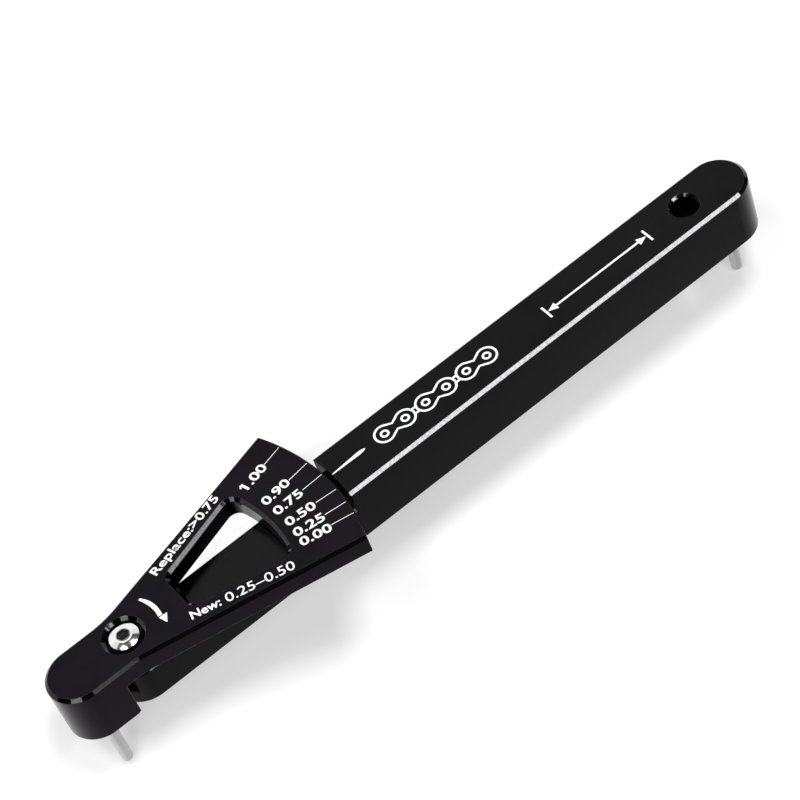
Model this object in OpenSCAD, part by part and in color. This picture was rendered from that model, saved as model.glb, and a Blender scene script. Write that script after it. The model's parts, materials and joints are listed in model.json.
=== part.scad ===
// Chain wear gauge: a bar with a fixed pin, and a swinging dial with a moving pin.
// It lies as it comes to rest, on both pin tips and the far corner of the dial.
// The origin is on the fixed pin's axis at the bar's underside, +Z is up,
// and +X runs from the fixed pin to the moving pin.

/* [Bar] */
// Width of the bar across its flanks
bar_w = 11.7; // [11:0.1:12.5]
// Thickness of the bar from its underside to its top face
bar_h = 12.1; // [11.6:0.1:13]
// Distance from the dial's pivot to the fixed pin
pivot_to_pin = 133.2; // [125:0.1:142]
// Chamfer along the top edges of the bar, the tongue and the dial
top_chamfer = 0.6; // [0.3:0.05:0.8]
// Bevel along the lower edges of the bar and the boss
low_bevel = 0.25; // [0.1:0.05:0.4]
// Bevel of the step where the bar meets the dial
step_bevel = 0.15; // [0.05:0.05:0.3]
// Chamfer of the two upright corners of the step
step_corner = 0.2; // [0.1:0.05:1]

/* [Hanging hole] */
// Distance from the fixed pin back to the hanging hole
hole_back = 7.4; // [6:0.1:20]
// Radius of the hanging hole
hole_r = 2.5; // [1.5:0.1:3]
// Chamfer at both mouths of the hanging hole
hole_chamfer = 0.45; // [0.2:0.05:0.6]

/* [Pins] */
// Radius of both measuring pins
pin_r = 1.05; // [0.9:0.05:1.3]
// How far the pins stand out of the underside
pin_reach = 11.5; // [8:0.1:14]
// Rounding of the pin tips
tip_round = 0.5; // [0.2:0.05:0.8]
// Radius of the spigot that seats a pin
spigot_r = 0.8; // [0.6:0.05:0.85]
// Depth of the spigot in its bore
spigot_depth = 6; // [4:0.5:8]
// Clearance round a spigot or a screw shank in its seat
seat_gap = 0.02; // [0.01:0.005:0.03]

/* [Dial] */
// Thickness of the dial's plate
plate_t = 4; // [3.6:0.1:4.4]
// Space between the dial's plate and the bar's tongue
plate_gap = 0.4; // [0.2:0.05:0.6]
// Radius of the dial's curved edge about the pivot
fan_r = 44.4; // [42:0.1:48]
// Space between the curved edge and the bar's step
step_gap = 0.9; // [0.5:0.1:1.5]
// Angle of the dial's far side from its boss
fan_far_a = 16.1; // [14:0.1:18]
// Distance of the far side's line from the pivot
fan_far_off = 5.55; // [5.5:0.05:6]
// Angle of the dial's near side from its boss
fan_near_a = 12.3; // [10:0.1:15]
// Distance of the near side's line from the pivot
fan_near_off = 6.1; // [6.05:0.05:6.5]
// Radius that blends the far side into the boss
far_blend = 20; // [8:1:24]

/* [Boss] */
// Width of the dial's boss, which carries the moving pin
boss_w = 11.6; // [11.2:0.1:12.2]
// Sideways shift of the boss from the pivot
boss_shift = -0.3; // [-0.5:0.05:0]
// Distance from the pivot to the centre of the boss's round end
boss_reach = 10.15; // [9.5:0.05:12]
// Space between the boss's hollow and the tongue's round end
hollow_gap = 1.9; // [1.2:0.05:2]
// Bevel of the hollow's lower edge
hollow_bevel = 0.6; // [0.3:0.1:1]
// Distance from the pivot to the moving pin
arm_r = 10.9; // [10.4:0.05:12.5]
// Angle between the boss's centre line and the moving pin
arm_a = 16.3; // [8:0.1:20]

/* [Window] */
// Distance from the pivot to the window's short end
window_start = 12.2; // [11:0.1:16]
// Radius of the window's curved end about the pivot
window_r = 31.5; // [27:0.1:35]
// Angle of the window's far wall
window_far_a = 18.6; // [16:0.1:19]
// Distance of the far wall's line from the pivot
window_far_off = 0.32; // [0:0.02:0.8]
// Angle of the window's near wall
window_near_a = 13.2; // [10:0.1:14]
// Distance of the near wall's line from the pivot
window_near_off = 0.97; // [0.5:0.05:1.5]
// Corner radius at the short end
window_start_r = 1.5; // [0.8:0.1:2]
// Corner radius at the curved end
window_end_r = 2; // [1:0.1:3]

/* [Pivot screw] */
// Radius of the screw's round head
head_r = 2.9; // [2.6:0.05:3]
// Height of the screw's round head
head_h = 2.15; // [1.9:0.05:2.3]
// Height of the upright rim below the head's rounded shoulder
head_rim = 1.1; // [0.9:0.05:1.2]
// Radius of the head's rounded shoulder
shoulder_r = 0.6; // [0.4:0.05:0.8]
// Radius of the low dome across the head
dome_r = 6.2; // [5:0.1:8]
// Size of the hexagonal socket across its flats
socket_af = 2.2; // [1.5:0.1:2.4]
// Depth of the hexagonal socket
socket_depth = 1.4; // [1:0.05:1.5]
// Radius of the screw's shank
shank_r = 1.5; // [1.2:0.05:1.7]
// Height of the shank's end above the underside
shank_end = 1; // [0:0.1:3]
// Radial clearance of the dial on the shank
running_gap = 0.05; // [0.02:0.01:0.09]
// End play of the dial, shared above and below its plate
end_play = 0.05; // [0.03:0.01:0.1]
// Radius of the recess that holds the head
recess_r = 3.4; // [3.2:0.05:3.6]
// Depth of the recess that holds the head
recess_depth = 1.9; // [1.85:0.05:2.2]
// Radius of the low land that carries the dial
land_r = 4.5; // [3.5:0.1:5.5]

/* [Hidden] */
$fn = 96;

// How far a cutting shape runs past the face that it cuts
past = 1;
// How far a curve is set off a tangent neighbour, so that the two cross cleanly
hair = 0.004;
// Tilt up to which the rounding of the head's shoulder is followed
shoulder_tilt = 30;

plate_z = bar_h - plate_t;
tongue_h = plate_z - plate_gap;
step_r = fan_r + step_gap;
hollow_r = bar_w / 2 + hollow_gap;
dial_bore_r = shank_r + running_gap;
recess_z = bar_h - recess_depth;
head_z = recess_z + end_play;
far_flank = boss_w / 2 + boss_shift;
near_flank = boss_w / 2 - boss_shift;
moving_pin_at = [-arm_r * cos(arm_a), -arm_r * sin(arm_a)];

// The far corner of the dial, on the floor at rest
corner_a = fan_far_a + asin(fan_far_off / fan_r);
corner_at = fan_r * [cos(corner_a), sin(corner_a)];

// The turn that brings the line of the pins along +X, and the lean to the floor
line_turn = 180 - atan2(-moving_pin_at[1], pivot_to_pin - moving_pin_at[0]);
corner_side = (pivot_to_pin - corner_at[0]) * sin(line_turn) - corner_at[1] * cos(line_turn);
floor_run = corner_side - (pin_r - tip_round);
floor_rise = plate_z + pin_reach - tip_round;
lean = atan2(floor_rise, floor_run) + asin(tip_round / norm([floor_rise, floor_run]));

// Corners of the window, worked out for one side of the dial's centre line
function along(a) = [cos(a), sin(a)];
function across(a) = [-sin(a), cos(a)];
function start_centre(a, off) =
    let (x = window_start + window_start_r, d = off - window_start_r)
    [x, (x * sin(a) + d) / cos(a)];
function end_centre(a, off) =
    let (d = off - window_end_r, reach = window_r - window_end_r)
    sqrt(reach * reach - d * d) * along(a) + d * across(a);
function flipped(p) = [p[0], -p[1]];
far_start = start_centre(window_far_a, window_far_off);
far_end = end_centre(window_far_a, window_far_off);
near_start = flipped(start_centre(window_near_a, window_near_off));
near_end = flipped(end_centre(window_near_a, window_near_off));
far_out = across(window_far_a);
near_out = flipped(across(window_near_a));
far_tip = window_r * far_end / norm(far_end);
near_tip = window_r * near_end / norm(near_end);
far_wall = [
    far_start + (window_start_r - hair) * far_out,
    far_end + (window_end_r - hair) * far_out,
];
near_wall = [
    near_start + (window_start_r - hair) * near_out,
    near_end + (window_end_r - hair) * near_out,
];

// Moves everything from the bar's own frame to the way the gauge rests
module at_rest() {
    rotate([lean, 0, 0])
        rotate([0, 0, line_turn])
            translate([-pivot_to_pin, 0, 0])
                children();
}

// Cross-section of a bar from its near to its far flank, with bevelled edges
module section(near, far, height) {
    polygon([
        [-near, low_bevel],
        [low_bevel - near, 0],
        [far - low_bevel, 0],
        [far, low_bevel],
        [far, height - top_chamfer],
        [far - top_chamfer, height],
        [top_chamfer - near, height],
        [-near, height - top_chamfer],
    ]);
}

// A straight bar along +X with that cross-section
module straight(near, far, height, length) {
    rotate([90, 0, 90])
        linear_extrude(length)
            section(near, far, height);
}

// The round end that matches such a bar
module round_end(radius, height) {
    rotate_extrude()
        intersection() {
            section(radius, radius, height);
            square([radius, height]);
        }
}

// A hole through the full thickness, chamfered at both mouths
module chamfered_hole(radius, chamfer) {
    translate([0, 0, -past])
        cylinder(h = bar_h + 2 * past, r = radius);
    for (side = [0, 1])
        translate([0, 0, side * bar_h])
            mirror([0, 0, side])
                translate([0, 0, -past])
                    cylinder(h = past + chamfer, r1 = radius + chamfer + past, r2 = radius);
}

// The blind bore that seats a pin's spigot
module spigot_bore() {
    translate([0, 0, -past])
        cylinder(h = spigot_depth + past, r = spigot_r + seat_gap);
}

// The bar at its full thickness, cut back to the curved step
module full_bar() {
    step_x = sqrt(step_r * step_r - bar_w * bar_w / 4);
    difference() {
        union() {
            straight(bar_w / 2, bar_w / 2, bar_h, pivot_to_pin);
            translate([pivot_to_pin, 0, 0])
                round_end(bar_w / 2, bar_h);
        }
        translate([0, 0, -past])
            cylinder(h = bar_h + 2 * past, r = step_r);
        translate([0, 0, bar_h - step_bevel])
            cylinder(h = step_bevel + past, r1 = step_r, r2 = step_r + step_bevel + past);
        for (side = [-1, 1])
            translate([step_x, side * bar_w / 2, -past])
                rotate([0, 0, 45])
                    linear_extrude(bar_h + 2 * past)
                        square(step_corner * sqrt(2), center = true);
    }
}

// The thinner tongue that runs under the dial to its pivot
module tongue() {
    straight(bar_w / 2, bar_w / 2, tongue_h, step_r + past);
    round_end(bar_w / 2, tongue_h);
    cylinder(h = plate_z - end_play, r = land_r);
}

module bar() {
    color([0.09, 0.09, 0.095])
        difference() {
            union() {
                full_bar();
                tongue();
            }
            translate([pivot_to_pin - hole_back, 0, 0])
                chamfered_hole(hole_r, hole_chamfer);
            translate([pivot_to_pin, 0, 0])
                spigot_bore();
            translate([0, 0, -past])
                cylinder(h = bar_h, r = shank_r + seat_gap);
        }
}

// The plate on the inner side of one straight edge, chamfered along that edge
module edged_plate(a, off) {
    rotate([0, 0, a])
        translate([-boss_reach, 0, 0])
            rotate([90, 0, 90])
                linear_extrude(boss_reach + fan_r + past)
                    polygon([
                        [-fan_r, plate_z - past],
                        [off, plate_z - past],
                        [off, bar_h - top_chamfer],
                        [off - top_chamfer, bar_h],
                        [-fan_r, bar_h],
                    ]);
}

// The dial's fan, between its two straight sides and its curved edge
module fan() {
    intersection() {
        edged_plate(fan_far_a, fan_far_off);
        mirror([0, 1, 0])
            edged_plate(fan_near_a, fan_near_off);
        rotate_extrude()
            polygon([
                [0, plate_z - past],
                [fan_r, plate_z - past],
                [fan_r, bar_h - step_bevel],
                [fan_r - step_bevel, bar_h],
                [0, bar_h],
            ]);
    }
}

// The full-thickness boss
module boss() {
    translate([-boss_reach, 0, 0])
        straight(near_flank, far_flank, bar_h, boss_reach + past);
    translate([-boss_reach, boss_shift, 0])
        round_end(boss_w / 2, bar_h);
}

// The room for the tongue below the dial's plate, hollowed into the boss
module tongue_room() {
    translate([0, 0, -past])
        linear_extrude(plate_z + past) {
            circle(r = hollow_r);
            translate([0, -fan_r])
                square([fan_r + past, 2 * fan_r]);
        }
    translate([0, 0, -past])
        cylinder(h = hollow_bevel + 2 * past, r1 = hollow_r + hollow_bevel + past, r2 = hollow_r - past);
}

// The hollow curve that joins the boss's far flank to the far side of the fan
module side_blend() {
    corner = [(far_flank * cos(fan_far_a) - fan_far_off) / sin(fan_far_a), far_flank];
    reach = far_blend * tan(fan_far_a / 2);
    from = corner - [reach, 0];
    to = corner + reach * along(fan_far_a);
    inward = far_flank / 2;
    difference() {
        translate([0, 0, plate_z - past])
            linear_extrude(plate_t + past)
                polygon([from, to, to - inward * across(fan_far_a), from - [0, inward]]);
        translate([from[0], far_flank + far_blend, 0]) {
            cylinder(h = bar_h + past, r = far_blend + hair);
            round_flare(far_blend + hair);
        }
    }
}

module window_outline() {
    for (p = [far_start, near_start])
        translate(p)
            circle(r = window_start_r);
    for (p = [far_end, near_end])
        translate(p)
            circle(r = window_end_r);
    polygon([
        [window_start + hair, far_start[1]],
        far_wall[0],
        far_wall[1],
        0.98 * far_tip,
        0.98 * near_tip,
        near_wall[1],
        near_wall[0],
        [window_start + hair, near_start[1]],
    ]);
    intersection() {
        circle(r = window_r - hair);
        curved_end_zone();
    }
}

// The zone of the window's curved end, between its two corners
module curved_end_zone() {
    polygon([0.9 * far_tip, 1.3 * far_tip, 1.3 * near_tip, 0.9 * near_tip]);
}

// The flare of the window's rim along one straight wall
module wall_flare(from, to) {
    run = to - from;
    translate(from)
        rotate([0, 0, atan2(run[1], run[0])])
            rotate([90, 0, 90])
                linear_extrude(norm(run))
                    polygon([
                        [-past, bar_h - top_chamfer - past],
                        [top_chamfer + past, bar_h + past],
                        [-past, bar_h + past],
                    ]);
}

// The flare of a rim round one curve
module round_flare(radius) {
    translate([0, 0, bar_h - top_chamfer - past])
        cylinder(h = top_chamfer + 2 * past, r1 = radius - past, r2 = radius + top_chamfer + past);
}

module window_cut() {
    translate([0, 0, plate_z - past])
        linear_extrude(plate_t + 2 * past)
            window_outline();
    for (p = [far_start, near_start])
        translate(p)
            round_flare(window_start_r);
    for (p = [far_end, near_end])
        translate(p)
            round_flare(window_end_r);
    intersection() {
        round_flare(window_r - hair);
        translate([0, 0, plate_z])
            linear_extrude(bar_h)
                curved_end_zone();
    }
    wall_flare(far_wall[0], far_wall[1]);
    wall_flare(near_wall[1], near_wall[0]);
    wall_flare([window_start + hair, near_start[1]], [window_start + hair, far_start[1]]);
}

module dial() {
    color([0.1, 0.09, 0.1])
        difference() {
            union() {
                fan();
                boss();
                side_blend();
            }
            tongue_room();
            window_cut();
            cylinder(h = bar_h + past, r = dial_bore_r);
            translate([0, 0, recess_z])
                cylinder(h = recess_depth + past, r = recess_r);
            round_flare(recess_r);
            translate(moving_pin_at)
                spigot_bore();
        }
}

// A turned pin with a rounded tip and a spigot above its shoulder
module measuring_pin() {
    color([0.72, 0.72, 0.73]) {
        rotate_extrude() {
            translate([0, -pin_reach])
                square([pin_r - tip_round, pin_reach]);
            translate([0, tip_round - pin_reach])
                square([pin_r, pin_reach - tip_round]);
            translate([pin_r - tip_round, tip_round - pin_reach])
                intersection() {
                    circle(r = tip_round);
                    translate([0, -tip_round])
                        square(tip_round);
                }
        }
        cylinder(h = spigot_depth, r = spigot_r);
    }
}

module fixed_pin() {
    translate([pivot_to_pin, 0, 0])
        measuring_pin();
}

module moving_pin() {
    translate(moving_pin_at)
        measuring_pin();
}

// Half of the head's profile below its dome: an upright rim with a rounded shoulder
module shouldered_rim() {
    inset = head_r - shoulder_r;
    translate([inset, head_rim])
        circle(r = shoulder_r);
    polygon([
        [0, 0],
        [head_r, 0],
        [head_r, head_rim],
        [inset + shoulder_r * sin(shoulder_tilt), head_rim + shoulder_r * cos(shoulder_tilt)],
        [0, head_rim + head_r],
    ]);
}

// A button-head screw with a hexagonal socket
module pivot_screw() {
    color([0.78, 0.78, 0.79])
        difference() {
            union() {
                translate([0, 0, head_z])
                    rotate_extrude()
                        intersection() {
                            translate([0, head_h - dome_r])
                                circle(r = dome_r);
                            shouldered_rim();
                        }
                translate([0, 0, shank_end])
                    cylinder(h = head_z + head_rim - shank_end, r = shank_r);
            }
            translate([0, 0, head_z + head_h - socket_depth])
                cylinder(h = socket_depth + past, r = socket_af / sqrt(3), $fn = 6);
        }
}

at_rest() bar();
at_rest() dial();
at_rest() fixed_pin();
at_rest() moving_pin();
at_rest() pivot_screw();
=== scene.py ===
"""Looks of a chain wear gauge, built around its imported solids."""

import json
import math

import bmesh
import bpy
from mathutils import Matrix, Vector


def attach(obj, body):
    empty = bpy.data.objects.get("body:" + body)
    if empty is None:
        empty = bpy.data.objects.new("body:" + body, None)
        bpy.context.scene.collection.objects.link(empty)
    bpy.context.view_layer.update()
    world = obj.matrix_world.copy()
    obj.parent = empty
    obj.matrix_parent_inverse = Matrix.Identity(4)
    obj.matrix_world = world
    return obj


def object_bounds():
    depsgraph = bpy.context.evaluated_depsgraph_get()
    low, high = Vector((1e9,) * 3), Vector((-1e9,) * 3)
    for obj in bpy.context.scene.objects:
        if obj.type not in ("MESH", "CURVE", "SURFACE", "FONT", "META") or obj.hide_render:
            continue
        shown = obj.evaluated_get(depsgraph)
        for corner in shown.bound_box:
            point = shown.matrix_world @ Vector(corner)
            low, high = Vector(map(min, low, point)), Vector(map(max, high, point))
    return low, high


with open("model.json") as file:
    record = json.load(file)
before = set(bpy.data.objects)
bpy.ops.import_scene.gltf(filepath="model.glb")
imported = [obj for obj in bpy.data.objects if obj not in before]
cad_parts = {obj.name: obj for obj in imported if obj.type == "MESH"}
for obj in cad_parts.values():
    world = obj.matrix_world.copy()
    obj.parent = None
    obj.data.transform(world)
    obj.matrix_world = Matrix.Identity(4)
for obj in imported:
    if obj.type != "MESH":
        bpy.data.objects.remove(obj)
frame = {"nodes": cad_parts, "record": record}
cad_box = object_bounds()
MM = 0.001

# The gauge's own frame: origin on the pivot at the underside, +x along the bar, +z out of its face
record = frame["record"]
dial_turn = next(joint for joint in record["behaviour"]["joints"] if joint["name"] == "dial_turn")
fixed_pin = next(mount for mount in record["mounts"] if mount["name"] == "fixed_pin")
PIVOT = Vector(dial_turn["pos_m"])
FACE_UP = Vector(dial_turn["axis"]).normalized()
ACROSS = FACE_UP.cross(Vector(fixed_pin["pos_m"]) - PIVOT).normalized()
ALONG = ACROSS.cross(FACE_UP)
TO_FRAME = Matrix.Translation(PIVOT) @ Matrix((ALONG, ACROSS, FACE_UP)).transposed().to_4x4()

# The marks are drawn in plan in a unit of about a fourteenth of the bar's width, which is given in mm
UNIT = 0.836
# Height of the face and how far the print sinks into it and stands proud of it, in mm
FACE_Z = 12.1
PRINT_SINK = 0.004
PRINT_RISE = 0.012
# Width of the lines of the two drawings on the bar, in units
LINE = 0.5

# Colours of the two anodised pieces: blasted skin with tinted patches, milled walls and cut chamfers
BAR_COLOURS = {
    "dark": (0.0030, 0.0030, 0.0032),
    "light": (0.0050, 0.0050, 0.0052),
    "tint": (0.0037, 0.0042, 0.0036),
    "wall": (0.0042, 0.0041, 0.0042),
    "cut": (0.052, 0.052, 0.053),
}
DIAL_COLOURS = {
    "dark": (0.0036, 0.0024, 0.0042),
    "light": (0.0056, 0.0038, 0.0062),
    "tint": (0.0031, 0.0042, 0.0036),
    "wall": (0.0082, 0.0054, 0.0086),
    "cut": (0.030, 0.030, 0.031),
}
# Colours of the faces milled below the top, and of sharp edges, where the skin is worn thin and a painted
# highlight stands for the light they catch
MILLED = (0.0148, 0.0142, 0.0148)
WORN_AND_GLINT = (0.050, 0.048, 0.050)
# Painted shade: colour of the bar's step and of the tongue's round end, which face the dial's gaps and lie
# in their shade
GAP_SHADE_BLACK = (0.0008, 0.0008, 0.0008)
# Painted shade: colour inside the screw's socket, darker because the recess lies in shade
SOCKET_SHADE = (0.30, 0.30, 0.285)
# Heights between which milled faces give way to the blasted skin
BLASTED_FROM = (9 * MM, 11 * MM)
# Distances from the pivot between which the tongue's chamfers lose their shine under the dial, as painted
# shade of the dial
SHINE_UP_TO = (28 * MM, 34 * MM)
# Radii on the screw: the socket's edge, and the inner and outer side of the duller ring
SOCKET_EDGE = (1.26 * MM, 1.34 * MM)
RING_INSIDE = (1.30 * MM, 1.36 * MM)
RING_OUTSIDE = (1.55 * MM, 1.65 * MM)

# The floor and its round backdrop, in metres
FLOOR_CENTRE = Vector((0.07, 0, cad_box[0][2]))
FLAT_RADII = (0.25, 0.6, 1.2, 1.7)
COVE_RADIUS = 0.4
COVE_STEPS = 8
BACKDROP_TOP = 0.75
FLOOR_SIDES = 64
# Painted light: the spot of floor that shows through the dial's window glows brighter, lifting the dial's
# shadow there
LIT_WINDOW_SPOT = Vector((0.108, -0.0118, cad_box[0][2]))
# Height of the soft boxes that shine straight down, in metres
CEILING = 0.9


def camera():
    """The photograph's viewpoint, fitted to the gauge's edges there."""
    data = bpy.data.cameras.new("camera")
    data.lens = 131.97
    data.sensor_width = 36
    data.clip_start = 0.05
    data.clip_end = 20
    obj = bpy.data.objects.new("camera", data)
    forward = Vector((-0.23511068, 0.11413674, -0.96524389))
    right = Vector((-0.76219117, 0.59459945, 0.25596114))
    up = right.cross(forward).normalized()
    right = forward.cross(up).normalized()
    place = Matrix((right, up, -forward)).transposed().to_4x4()
    place.translation = Vector((0.190073, -0.071096, 0.498772))
    obj.matrix_world = place
    bpy.context.scene.collection.objects.link(obj)
    bpy.context.scene.camera = obj


def grey(level):
    return (level, level, level)


class Nodes:
    """A short way to write a material's node tree."""

    def __init__(self, name):
        self.material = bpy.data.materials.new(name)
        self.material.use_nodes = True
        self.tree = self.material.node_tree
        self.shader = self.tree.nodes["Principled BSDF"]

    def add(self, kind, **values):
        node = self.tree.nodes.new(kind)
        for key, value in values.items():
            setattr(node, key, value)
        return node

    def plug(self, value, slot):
        """Links an output to a slot, or sets the slot to a number, a vector or a colour."""
        if isinstance(value, bpy.types.NodeSocket):
            self.tree.links.new(value, slot)
        elif slot.type == "RGBA":
            slot.default_value = (*value, 1)
        else:
            slot.default_value = value

    def shade(self, slot, value):
        self.plug(value, self.shader.inputs[slot])

    def math(self, operation, *values):
        node = self.add("ShaderNodeMath", operation=operation)
        for slot, value in zip(node.inputs, values):
            self.plug(value, slot)
        return node.outputs[0]

    def vector(self, operation, *values):
        """Vector arithmetic, which gives a number for a dot product, a length or a distance."""
        node = self.add("ShaderNodeVectorMath", operation=operation)
        for slot, value in zip(node.inputs, values):
            self.plug(value, slot)
        number = operation in ("DOT_PRODUCT", "LENGTH", "DISTANCE")
        return node.outputs["Value" if number else "Vector"]

    def ramp(self, value, low, high, out_low, out_high):
        """A smooth step from one number to another while a value goes from low to high."""
        node = self.add("ShaderNodeMapRange", clamp=True, interpolation_type="SMOOTHSTEP")
        for slot, item in zip(node.inputs, (value, low, high, out_low, out_high)):
            self.plug(item, slot)
        return node.outputs[0]

    def mix(self, amount, under, over):
        """One colour laid over another."""
        node = self.add("ShaderNodeMix", data_type="RGBA")
        for slot, value in (("Factor", amount), ("A", under), ("B", over)):
            self.plug(value, node.inputs[slot])
        return node.outputs["Result"]

    def place(self):
        return self.add("ShaderNodeTexCoord").outputs["Object"]

    def from_pivot(self):
        """A point's place, seen from the pivot at the underside."""
        return self.vector("SUBTRACT", self.place(), PIVOT)

    def noise(self, scale, detail):
        node = self.add("ShaderNodeTexNoise")
        node.inputs["Scale"].default_value = scale
        node.inputs["Detail"].default_value = detail
        self.plug(self.place(), node.inputs["Vector"])
        return node.outputs["Fac"]

    def rounded(self, radius, samples=6):
        """The normal, rounded over sharp edges."""
        node = self.add("ShaderNodeBevel", samples=samples)
        node.inputs["Radius"].default_value = radius
        return node.outputs["Normal"]

    def bumped(self, grain, strength, depth):
        """A bump node that is driven by a grain."""
        node = self.add("ShaderNodeBump")
        node.inputs["Strength"].default_value = strength
        node.inputs["Distance"].default_value = depth
        self.plug(grain, node.inputs["Height"])
        return node

    def edges_worn_and_glinting(self, radius):
        """1 on the sharp edges of a piece, where the skin is worn thin and a painted edge highlight goes,
        and 0 on its faces.
        """
        flat = self.add("ShaderNodeNewGeometry").outputs["True Normal"]
        turn = self.vector("DOT_PRODUCT", self.rounded(radius, samples=8), flat)
        return self.ramp(turn, 0.90, 0.99, 1.0, 0.0)


def anodised(name, colours, paints_gap_shade=False):
    """Black anodised aluminium: matt blasted face, smoother milled walls and low faces, bright cut chamfers.

    On a piece with painted gap shade, the low chamfers far under the dial are dull and lose their cut colour
    as painted shade, and the faces that look back along the bar, into the dial's gaps, are painted black as
    shade.
    """
    n = Nodes(name)
    blasted_roughness = (0.42, 0.52)
    milled_smoother = 0.28
    cut_roughness = 0.05
    tint_share = 0.6
    wear_and_glint_share = 0.75
    wear_and_glint_width = 0.22 * MM
    edge_rounding = 0.12 * MM
    chamfer_facing = math.sqrt(0.5)

    normal = n.add("ShaderNodeTexCoord").outputs["Normal"]
    facing = n.vector("DOT_PRODUCT", normal, FACE_UP)
    height = n.vector("DOT_PRODUCT", n.from_pivot(), FACE_UP)
    off_chamfer = n.math("ABSOLUTE", n.math("SUBTRACT", facing, chamfer_facing))
    chamfer = n.ramp(off_chamfer, 0.06, 0.12, 1.0, 0.0)
    wall = n.ramp(n.math("ABSOLUTE", facing), 0.05, 0.2, 1.0, 0.0)
    low = n.ramp(height, *BLASTED_FROM, 1.0, 0.0)
    outside_gap_shade = 1.0
    # Painted shade: low chamfers far under the dial lose their bright cut colour, and faces looking back
    # into the dial's gaps go black
    if paints_gap_shade:
        along = n.vector("DOT_PRODUCT", n.from_pivot(), ALONG)
        under_dial = n.math("MULTIPLY", low, n.ramp(along, *SHINE_UP_TO, 0.0, 1.0))
        chamfer = n.math("MULTIPLY", chamfer, n.math("SUBTRACT", 1.0, under_dial))
        outside_gap_shade = n.ramp(n.vector("DOT_PRODUCT", normal, ALONG), -0.60, -0.54, 0.0, 1.0)
    milled = n.math("MAXIMUM", wall, low)
    bare = n.math("MULTIPLY", n.math("MAXIMUM", milled, chamfer), outside_gap_shade)

    grain = n.noise(scale=5200, detail=2)
    clouds = n.noise(scale=90, detail=3)
    skin = n.math("ADD", n.math("MULTIPLY", clouds, 0.7), n.math("MULTIPLY", grain, 0.3))
    mottled = n.mix(n.ramp(skin, 0.35, 0.65, 0.0, 1.0), colours["dark"], colours["light"])
    patches = n.ramp(n.noise(scale=140, detail=1), 0.48, 0.62, 0.0, tint_share)
    blasted = n.mix(patches, mottled, colours["tint"])
    smooth = n.mix(wall, n.mix(low, blasted, MILLED), colours["wall"])
    # Sharp edges: skin worn thin, with a painted highlight for the light they catch
    worn_and_glinting = n.mix(n.math("MULTIPLY", n.edges_worn_and_glinting(wear_and_glint_width), wear_and_glint_share), smooth, WORN_AND_GLINT)
    specks = n.ramp(n.noise(scale=2400, detail=1), 0.35, 0.6, 0.0, 1.0)
    cut = n.mix(specks, [0.72 * part for part in colours["cut"]], colours["cut"])
    # Faces in the dial's gaps get the black painted shade over all else
    n.shade("Base Color", n.mix(outside_gap_shade, GAP_SHADE_BLACK, n.mix(chamfer, worn_and_glinting, cut)))
    n.shade("Metallic", bare)

    matt = n.ramp(grain, 0.3, 0.7, *blasted_roughness)
    matt = n.math("SUBTRACT", matt, n.math("MULTIPLY", milled, milled_smoother))
    matt = n.math("MULTIPLY", matt, n.math("SUBTRACT", 1.0, chamfer))
    n.shade("Roughness", n.math("ADD", matt, n.math("MULTIPLY", chamfer, cut_roughness)))
    n.shade("Specular IOR Level", 0.05)
    bump = n.bumped(grain, strength=0.12, depth=0.02 * MM)
    n.plug(n.rounded(edge_rounding), bump.inputs["Normal"])
    n.shade("Normal", bump.outputs["Normal"])
    return n.material


def polished_steel():
    """The screw: turned and polished, duller on a ring round its socket, with painted shade inside it."""
    n = Nodes("screw_polished")
    grain = n.noise(scale=2600, detail=2)
    radius = n.vector("LENGTH", n.vector("CROSS_PRODUCT", n.from_pivot(), FACE_UP))
    in_socket = n.ramp(radius, *SOCKET_EDGE, 1.0, 0.0)
    # Inside the socket the colour goes dark as painted shade
    n.shade("Base Color", n.mix(in_socket, n.mix(grain, grey(0.63), grey(0.77)), SOCKET_SHADE))
    n.shade("Metallic", 1.0)
    ring_roughness = 0.34
    past_socket = n.ramp(radius, *RING_INSIDE, 0.0, ring_roughness)
    before_dome = n.ramp(radius, *RING_OUTSIDE, 1.0, 0.0)
    polish = n.ramp(grain, 0.3, 0.7, 0.08, 0.16)
    n.shade("Roughness", n.math("ADD", polish, n.math("MULTIPLY", past_socket, before_dome)))
    n.shade("Normal", n.rounded(radius=0.08 * MM))
    return n.material


def ground_steel():
    """The pins: ground steel, matt grey."""
    n = Nodes("pin_ground")
    grain = n.noise(scale=3800, detail=3)
    n.shade("Base Color", n.mix(grain, (0.62, 0.62, 0.63), (0.76, 0.76, 0.77)))
    n.shade("Metallic", 0.6)
    n.shade("Roughness", n.ramp(grain, 0.3, 0.7, 0.42, 0.58))
    n.shade("Normal", n.bumped(grain, strength=0.1, depth=0.01 * MM).outputs["Normal"])
    return n.material


def white_print():
    """The marks: chalky off-white."""
    n = Nodes("white_print")
    n.shade("Base Color", n.mix(n.noise(scale=3000, detail=3), grey(0.78), grey(0.90)))
    n.shade("Roughness", 0.6)
    n.shade("Specular IOR Level", 0.3)
    return n.material


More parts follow.
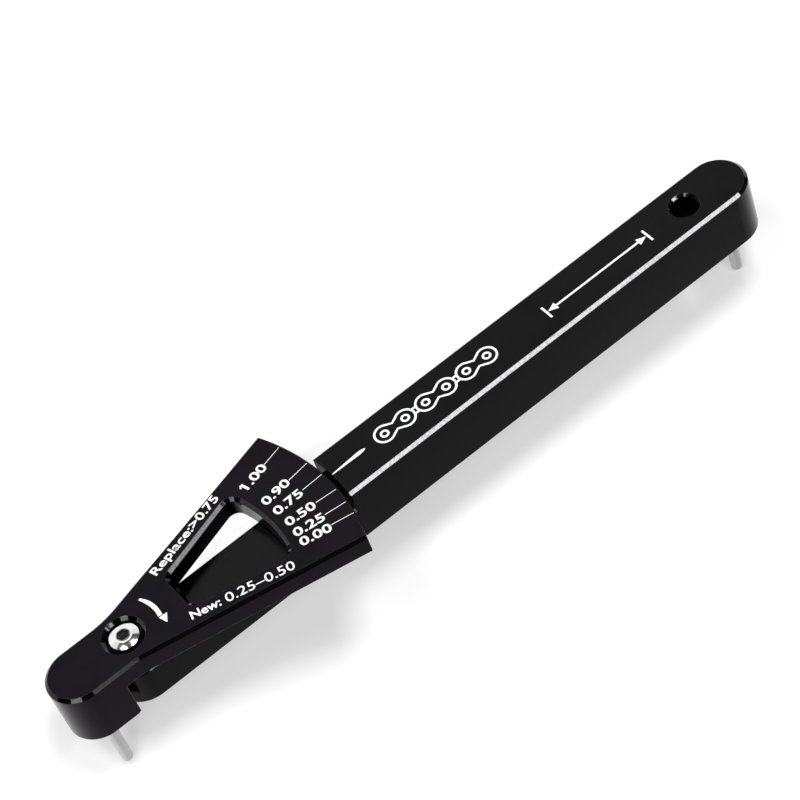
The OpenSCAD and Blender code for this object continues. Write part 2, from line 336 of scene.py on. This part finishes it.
def floor_white():
    """The floor: white near the gauge, grey far off, with a glow that evens out the light on it and a
    painted pool of light where it shows through the dial's window.
    """
    near_white, far_grey = grey(0.68), grey(0.10)
    floor_glow, spot_glow, front_glow = 0.36, 0.86, 0.75

    n = Nodes("floor_white")
    n.shade("Roughness", 0.9)
    n.shade("Specular IOR Level", 0.0)
    n.shade("Emission Color", grey(1))
    distance = n.vector("DISTANCE", n.place(), FLOOR_CENTRE)
    toward_front = n.math("DIVIDE", n.vector("DOT_PRODUCT", n.place(), Vector((0, -1, 0))), distance)
    front = n.ramp(toward_front, 0.35, 0.8, 0.0, 1.0)
    near = n.ramp(distance, 0.8, 1.4, 1.0, 0.0)
    rays = n.add("ShaderNodeLightPath").outputs
    mirrored = n.math("MAXIMUM", rays["Is Glossy Ray"], rays["Is Transmission Ray"])
    seen = n.math("MAXIMUM", rays["Is Camera Ray"], mirrored)
    # Painted light: a brighter glow on the floor seen through the dial's window, in place of the dial's
    # shadow
    to_spot = n.vector("DISTANCE", n.place(), LIT_WINDOW_SPOT)
    level = n.ramp(to_spot, 9.5 * MM, 17 * MM, spot_glow, floor_glow)
    near_glow = n.math("MULTIPLY", n.math("MULTIPLY", near, seen), level)
    far_glow = n.math("MULTIPLY", n.ramp(distance, 0.3, 1.5, 0.0, front_glow), front)
    n.shade("Emission Strength", n.math("MAXIMUM", near_glow, far_glow))
    shaded = n.math("MULTIPLY", n.math("SUBTRACT", 1.0, near), n.math("SUBTRACT", 1.0, front))
    n.shade("Base Color", n.mix(shaded, near_white, far_grey))
    return n.material


def finish_mark(name, bm, body):
    """Turns marks that are drawn in the gauge's own frame into a piece on a body."""
    bmesh.ops.recalc_face_normals(bm, faces=bm.faces)
    mesh = bpy.data.meshes.new(name)
    bm.to_mesh(mesh)
    bm.free()
    mesh.transform(TO_FRAME @ Matrix.Diagonal((UNIT * MM, UNIT * MM, MM, 1)))
    mesh.materials.append(white)
    obj = bpy.data.objects.new(name, mesh)
    bpy.context.scene.collection.objects.link(obj)
    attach(obj, body)


def on_dial(name, bm):
    finish_mark(name, bm, "dial_body")


def on_bar(name, bm):
    finish_mark(name, bm, "bar_body")


def raised(bm, x, y):
    """The two corners of a mark at a point in plan, in the face and above it."""
    return [bm.verts.new((x, y, z)) for z in (FACE_Z - PRINT_SINK, FACE_Z + PRINT_RISE)]


def stroke(bm, points, widths, closed=False):
    """A printed line along points, as wide at each as the widths say."""
    rows = []
    count = len(points)
    for i, point in enumerate(points):
        before = points[i - 1] if i or closed else point
        after = points[(i + 1) % count] if i + 1 < count or closed else point
        run = Vector(after) - Vector(before)
        side = Vector((-run.y, run.x)).normalized() * widths[i] / 2
        left, right = raised(bm, *(Vector(point) + side)), raised(bm, *(Vector(point) - side))
        rows.append((left[0], right[0], right[1], left[1]))
    pairs = list(zip(rows, rows[1:]))
    if closed:
        pairs.append((rows[-1], rows[0]))
    else:
        bm.faces.new(rows[0])
        bm.faces.new(reversed(rows[-1]))
    for one, two in pairs:
        for i in range(4):
            j = (i + 1) % 4
            bm.faces.new((one[i], one[j], two[j], two[i]))


def glyphs(text, bold):
    """The flat outlines of a text in Blender's own font, as a mesh."""
    curve = bpy.data.curves.new("glyphs", "FONT")
    curve.body = text
    curve.offset = bold
    curve.resolution_u = 4
    source = bpy.data.objects.new("glyphs", curve)
    bpy.context.scene.collection.objects.link(source)
    bpy.context.view_layer.update()
    mesh = bpy.data.meshes.new_from_object(source.evaluated_get(bpy.context.evaluated_depsgraph_get()))
    bpy.data.objects.remove(source)
    bpy.data.curves.remove(curve)
    bm = bmesh.new()
    bm.from_mesh(mesh)
    bpy.data.meshes.remove(mesh)
    bmesh.ops.remove_doubles(bm, verts=bm.verts, dist=1e-5)
    return bm


def words(name, text, centre, degrees, length, height, bold=0.022):
    """Printed words on the dial, of a given length and digit height, centred in plan and turned."""
    digit = glyphs("0", bold)
    digit_low = min(v.co.y for v in digit.verts)
    digit_high = max(v.co.y for v in digit.verts)
    digit.free()
    bm = glyphs(text, bold)
    left = min(v.co.x for v in bm.verts)
    right = max(v.co.x for v in bm.verts)
    middle = Vector(((left + right) / 2, (digit_low + digit_high) / 2, 0))
    size = Matrix.Diagonal((length / (right - left), height / (digit_high - digit_low), 1, 1))
    turn = Matrix.Rotation(math.radians(degrees), 4, "Z")
    place = Matrix.Translation((*centre, FACE_Z - PRINT_SINK)) @ turn @ size @ Matrix.Translation(-middle)
    bmesh.ops.transform(bm, matrix=place, verts=bm.verts)
    grown = bmesh.ops.extrude_face_region(bm, geom=bm.faces[:])
    top = [v for v in grown["geom"] if isinstance(v, bmesh.types.BMVert)]
    bmesh.ops.translate(bm, verts=top, vec=(0, 0, PRINT_SINK + PRINT_RISE))
    on_dial(name, bm)


def scale_marks():
    """The numbers and ticks of the dial, one row each: text, middle, direction, length, ends of the tick."""
    rows = [
        ("1.00", (42.35, 12.47), 15.0, 6.7, (45.7, 13.4), (50.5, 14.72)),
        ("0.90", (43.2, 5.65), 7.0, 7.2, (47.0, 5.95), (52.2, 6.7)),
        ("0.75", (43.5, 1.5), 2.0, 7.2, (47.5, 1.65), (52.7, 1.85)),
        ("0.50", (43.6, -2.95), -4.0, 7.2, (47.6, -3.15), (52.5, -3.6)),
        ("0.25", (43.2, -6.65), -8.5, 7.2, (47.1, -7.15), (52.1, -7.8)),
        ("0.00", (42.75, -9.75), -12.4, 7.2, (46.5, -10.25), (51.6, -11.3)),
    ]
    digit_height = 2.4
    tick_widths = [0.15, 0.11]
    ticks = bmesh.new()
    for text, centre, degrees, length, start, end in rows:
        words("number_" + text.replace(".", "_"), text, centre, degrees, length, digit_height)
        stroke(ticks, [start, end], tick_widths)
    long_flag_of_the_one = [(38.45, 11.95), (38.95, 12.72)]
    stroke(ticks, long_flag_of_the_one, [0.35, 0.45])
    on_dial("scale_ticks", ticks)


def legends():
    """The two plain lines of advice beside the window, the second in two weights."""
    words("legend_replace", "Replace:>0.75", (23.25, 11.3), 17.2, length=21.7, height=2.2, bold=0.02)
    words("legend_new", "New:", (15.9, -7.53), -14.2, length=6.7, height=2.25)
    words("legend_new_range", "0.25–0.50", (27.8, -10.54), -14.2, length=15.5, height=2.4, bold=0.004)


def turning_arrow():
    """The curved arrow that shows which way to turn the dial."""
    bm = bmesh.new()
    centre, radius = (-0.6, 0.4), 9.1
    start, sweep, steps = 30, -44, 22
    thin, thicker = 0.5, 0.45
    points, widths = [], []
    for i in range(steps + 1):
        share = i / steps
        angle = math.radians(start + sweep * share)
        points.append((centre[0] + radius * math.cos(angle), centre[1] + radius * math.sin(angle)))
        widths.append(thin + thicker * min(1.0, 3 * share))
    stroke(bm, points, widths)
    head = [raised(bm, x, y) for x, y in [(7.7, -2.0), (9.7, -2.2), (8.4, -4.3)]]
    bm.faces.new([low for low, high in head])
    bm.faces.new([high for low, high in reversed(head)])
    for (low, high), (next_low, next_high) in zip(head, head[1:] + head[:1]):
        bm.faces.new((low, next_low, next_high, high))
    on_dial("turning_arrow", bm)


def index_needle():
    """The slim needle on the bar that points at the scale."""
    bm = bmesh.new()
    points = [(54.3, 0.1), (57.0, 0.18), (60.0, 0.26), (61.6, 0.3), (62.5, 0.32), (63.1, 0.34)]
    stroke(bm, points, [0.2, 0.5, 0.78, 0.92, 0.7, 0.15])
    on_bar("index_needle", bm)


def arc(x, y, radius, start, sweep, steps):
    """Points round a centre, with both ends."""
    angles = [math.radians(start + sweep * i / steps) for i in range(steps + 1)]
    return [(x + radius * math.cos(a), y + radius * math.sin(a)) for a in angles]


def chain_drawing():
    """A plain drawing of a few chain links: outer plates, the straps between them, and pins."""
    bm = bmesh.new()
    first, y, pitch = 68.3, 0.25, 5.5
    plate_radius, waist, strap, pin_radius = 2.25, 1.05, 0.75, 0.8
    pins = [first + i * pitch for i in range(6)]
    for x in pins:
        rim = arc(x, y, pin_radius, 0, 360, 20)[:-1]
        stroke(bm, rim, [LINE] * len(rim), closed=True)
    for left, right in zip(pins[::2], pins[1::2]):
        middle = (left + right) / 2
        outline = [*arc(left, y, plate_radius, 50, 260, 16), (middle, y - waist)]
        outline += [*arc(right, y, plate_radius, -130, 260, 16), (middle, y + waist)]
        stroke(bm, outline, [LINE] * len(outline), closed=True)
    for left, right in zip(pins[1::2], pins[2::2]):
        for level in (y - strap, y + strap):
            stroke(bm, [(left + plate_radius, level), (right - plate_radius, level)], [LINE] * 2)
    on_bar("chain_drawing", bm)


def span_drawing():
    """A plain dimension line with two arrow heads and an end line at each."""
    bm = bmesh.new()
    start, end, y = 111.8, 139.8, -0.4
    head_length, head_width, tip_gap, tip_width = 2.6, 2.0, 0.45, 0.05
    end_line = 3.8
    stroke(bm, [(start + head_length, y), (end - head_length, y)], [LINE] * 2)
    for x, inward in ((start, 1), (end, -1)):
        stroke(bm, [(x, y - end_line / 2), (x, y + end_line / 2)], [LINE] * 2)
        head = [(x + inward * tip_gap, y), (x + inward * head_length, y)]
        stroke(bm, head, [tip_width, head_width])
    on_bar("span_drawing", bm)


def floor():
    """A white floor that rises into a low round backdrop far from the gauge."""
    bm = bmesh.new()
    flat_end = FLAT_RADII[-1]
    profile = [(radius, 0) for radius in FLAT_RADII]
    for i in range(1, COVE_STEPS + 1):
        angle = math.pi / 2 * i / COVE_STEPS
        profile.append((flat_end + COVE_RADIUS * math.sin(angle), COVE_RADIUS * (1 - math.cos(angle))))
    profile.append((flat_end + COVE_RADIUS, BACKDROP_TOP))
    rings = []
    for radius, height in profile:
        ring = []
        for i in range(FLOOR_SIDES):
            angle = i * math.tau / FLOOR_SIDES
            out = Vector((radius * math.cos(angle), radius * math.sin(angle), height))
            ring.append(bm.verts.new(FLOOR_CENTRE + out))
        rings.append(ring)
    bm.faces.new(rings[0])
    for one, two in zip(rings, rings[1:]):
        for i in range(FLOOR_SIDES):
            j = (i + 1) % FLOOR_SIDES
            bm.faces.new((one[i], two[i], two[j], one[j]))
    bmesh.ops.recalc_face_normals(bm, faces=bm.faces)
    mesh = bpy.data.meshes.new("floor")
    bm.to_mesh(mesh)
    bm.free()
    for face in mesh.polygons:
        face.use_smooth = True
    mesh.materials.append(floor_white())
    obj = bpy.data.objects.new("floor", mesh)
    bpy.context.scene.collection.objects.link(obj)


def lamp(name, place, aim, size, radiance):
    """A soft box whose face has the given brightness."""
    data = bpy.data.lights.new(name, "AREA")
    data.shape = "RECTANGLE"
    data.size, data.size_y = size
    data.energy = radiance * math.pi * size[0] * size[1]
    obj = bpy.data.objects.new(name, data)
    toward = Vector(aim) - Vector(place)
    obj.matrix_world = Matrix.Translation(place) @ toward.to_track_quat("-Z", "Y").to_matrix().to_4x4()
    bpy.context.scene.collection.objects.link(obj)


def strip(name, x, y, size, radiance):
    """A soft box that shines straight down, placed where a milled face mirrors it to the camera."""
    lamp(name, (x, y, CEILING), (x, y, 0), size, radiance)


def studio():
    """Dim light from all sides, with seven soft boxes."""
    world = bpy.data.worlds.new("studio")
    world.use_nodes = True
    background = world.node_tree.nodes["Background"]
    background.inputs["Color"].default_value = (1, 1, 1, 1)
    background.inputs["Strength"].default_value = 0.1
    bpy.context.scene.world = world
    strip("strip_above", -0.2825, 0.07, (0.635, 0.05), 17.0)
    strip("strip_window", -0.48, 0.013, (0.16, 0.06), 10.0)
    strip("strip_tongue", 0.051, 0.090, (0.016, 0.014), 17.0)
    strip("strip_end", 0.097, 0.07, (0.066, 0.05), 2.2)
    lamp("box_left", (0.90, -0.09, 0.85), (0.12, 0, 0), (0.42, 0.54), 5.4)
    lamp("box_back", (-0.21, -0.65, 0.9), (0.07, 0, 0), (0.34, 0.34), 21.0)
    lamp("box_corner", (0.60, -0.82, 0.9), (0.07, 0, 0), (0.40, 0.40), 17.0)


camera()
white = white_print()
steel_pin = ground_steel()
for node, material in (
    ("bar", anodised("bar_black", BAR_COLOURS, paints_gap_shade=True)),
    ("dial", anodised("dial_black", DIAL_COLOURS)),
    ("fixed_pin", steel_pin),
    ("moving_pin", steel_pin),
    ("pivot_screw", polished_steel()),
):
    slots = frame["nodes"][node].data.materials
    slots.clear()
    slots.append(material)

scale_marks()
legends()
turning_arrow()
index_needle()
chain_drawing()
span_drawing()
floor()
studio()
bpy.context.scene.view_settings.view_transform = "Standard"
